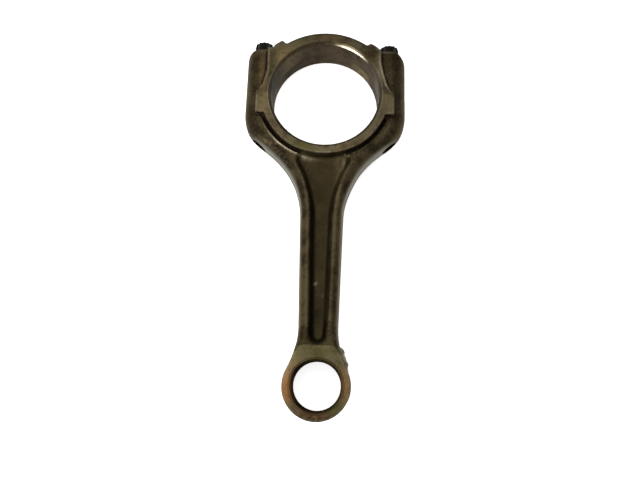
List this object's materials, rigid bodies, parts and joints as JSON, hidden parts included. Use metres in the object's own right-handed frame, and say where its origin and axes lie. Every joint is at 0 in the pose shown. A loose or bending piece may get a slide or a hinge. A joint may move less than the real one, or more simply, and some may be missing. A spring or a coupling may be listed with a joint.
{
  "type": "connecting rod",
  "caption": "Forged steel I-beam connecting rod with a bolted bearing cap at the crank end and a bushed eye at the piston-pin end.",
  "frame": {"origin": "centre of the crank bore at half the rod's width", "axes": "+Z along both bores, up when the rod lies flat; +Y along the rod from the pin end towards the bearing cap; +X across the rod"},
  "size_m": [0.0844, 0.2013, 0.022],
  "materials": {
    "forged_rod": "dark oily forged steel, machined end faces",
    "forged_cap": "dark oily forged steel, machined faces",
    "bolt_black": "black oxide, oily",
    "bush_bronze": "oil-stained bronze"
  },
  "bodies": {
    "rod": {"rod_body": "forged_rod", "pin_bush": "bush_bronze"},
    "cap": {"bearing_cap": "forged_cap"},
    "left_bolt": {"left_cap_bolt": "bolt_black"},
    "right_bolt": {"right_cap_bolt": "bolt_black"}
  },
  "joints": [
    {"name": "cap_lift", "type": "slide", "parent": "rod", "child": "cap", "axis": [0, 1, 0], "range_m": [0, 0.035]},
    {"name": "left_bolt_draw", "type": "slide", "parent": "cap", "child": "left_bolt", "axis": [0, 1, 0], "range_m": [0, 0.05]},
    {"name": "right_bolt_draw", "type": "slide", "parent": "cap", "child": "right_bolt", "axis": [0, 1, 0], "range_m": [0, 0.05]}
  ]
}
